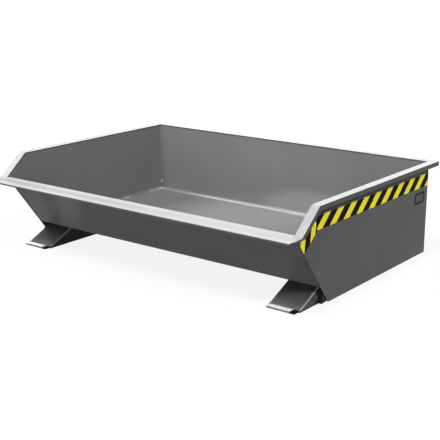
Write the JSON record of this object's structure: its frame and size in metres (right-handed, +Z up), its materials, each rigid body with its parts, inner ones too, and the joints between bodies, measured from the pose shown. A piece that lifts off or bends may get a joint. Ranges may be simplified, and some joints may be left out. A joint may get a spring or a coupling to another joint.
{
  "type": "tipping hopper",
  "caption": "Low steel tipping hopper with a wide front lip and hazard-striped sides, hinged at the front on a base of fork pockets, with a rear swing latch and lifting bow.",
  "frame": {"origin": "on the ground below the middle of the outline, as seen from above", "axes": "+Z up, the discharge lip faces -Y, the fork pockets' mouths face +Y, +X across the hopper"},
  "size_m": [1.46, 1.0644, 0.38],
  "materials": {
    "body_paint": "semi-gloss mouse-grey paint",
    "rim_capping": "pale grey paint on the capping strip",
    "toe_steel": "bright flat bar",
    "hazard_tape": "yellow and black diagonal stripes",
    "zinc_steel": "zinc plated",
    "black_steel": "black oxide, oiled",
    "bush_bronze": "turned",
    "pad_rubber": "matt black",
    "plate_black": "dark anodised, blank"
  },
  "bodies": {
    "base": {"front_cross_tube": "body_paint", "rear_cross_tube": "body_paint", "latch_bracket": "body_paint", "latch_stop": "body_paint", "rest_pads": "pad_rubber", "latch_washer": "zinc_steel", "latch_bolt": "zinc_steel", "latch_nut": "zinc_steel", "left_pocket_roof": "body_paint", "left_outer_cheek": "body_paint", "left_inner_cheek": "body_paint", "left_pocket_straps": "body_paint", "left_hinge_boss": "body_paint", "left_toe_strip": "toe_steel", "left_hinge_washer": "black_steel", "left_hinge_pin": "black_steel", "left_hinge_clip": "black_steel", "right_pocket_roof": "body_paint", "right_outer_cheek": "body_paint", "right_inner_cheek": "body_paint", "right_pocket_straps": "body_paint", "right_hinge_boss": "body_paint", "right_toe_strip": "toe_steel", "right_hinge_washer": "black_steel", "right_hinge_pin": "black_steel", "right_hinge_clip": "black_steel"},
    "hopper": {"trough_sheet": "body_paint", "rear_rim_fold": "body_paint", "front_rim_fold": "body_paint", "left_floor_rib": "body_paint", "middle_floor_rib": "body_paint", "right_floor_rib": "body_paint", "bow_lugs": "body_paint", "keeper_pad": "body_paint", "rear_rim_cap": "rim_capping", "front_rim_cap": "rim_capping", "blank_plate": "plate_black", "blank_plate_rivets": "zinc_steel", "keeper_stud": "zinc_steel", "keeper_cap": "zinc_steel", "left_side_plate": "body_paint", "left_rim_fold": "body_paint", "left_hinge_lug": "body_paint", "left_rim_cap": "rim_capping", "left_hazard_tape": "hazard_tape", "left_hinge_bush": "bush_bronze", "right_side_plate": "body_paint", "right_rim_fold": "body_paint", "right_hinge_lug": "body_paint", "right_rim_cap": "rim_capping", "right_hazard_tape": "hazard_tape", "right_hinge_bush": "bush_bronze"},
    "latch": {"latch_lever": "zinc_steel", "latch_grip": "pad_rubber"},
    "bow": {"lifting_bow": "zinc_steel"}
  },
  "joints": [
    {"name": "tip", "type": "hinge", "parent": "base", "child": "hopper", "pos_m": [0, -0.26978, 0.02], "axis": [1, 0, 0], "range_deg": [0, 47]},
    {"name": "latch_swing", "type": "hinge", "parent": "base", "child": "latch", "pos_m": [0, 0.51622, 0.032], "axis": [0, -1, 0], "range_deg": [0, 45]},
    {"name": "bow_swing", "type": "hinge", "parent": "hopper", "child": "bow", "pos_m": [0, 0.51622, 0.325], "axis": [1, 0, 0], "range_deg": [-2, 140]}
  ]
}
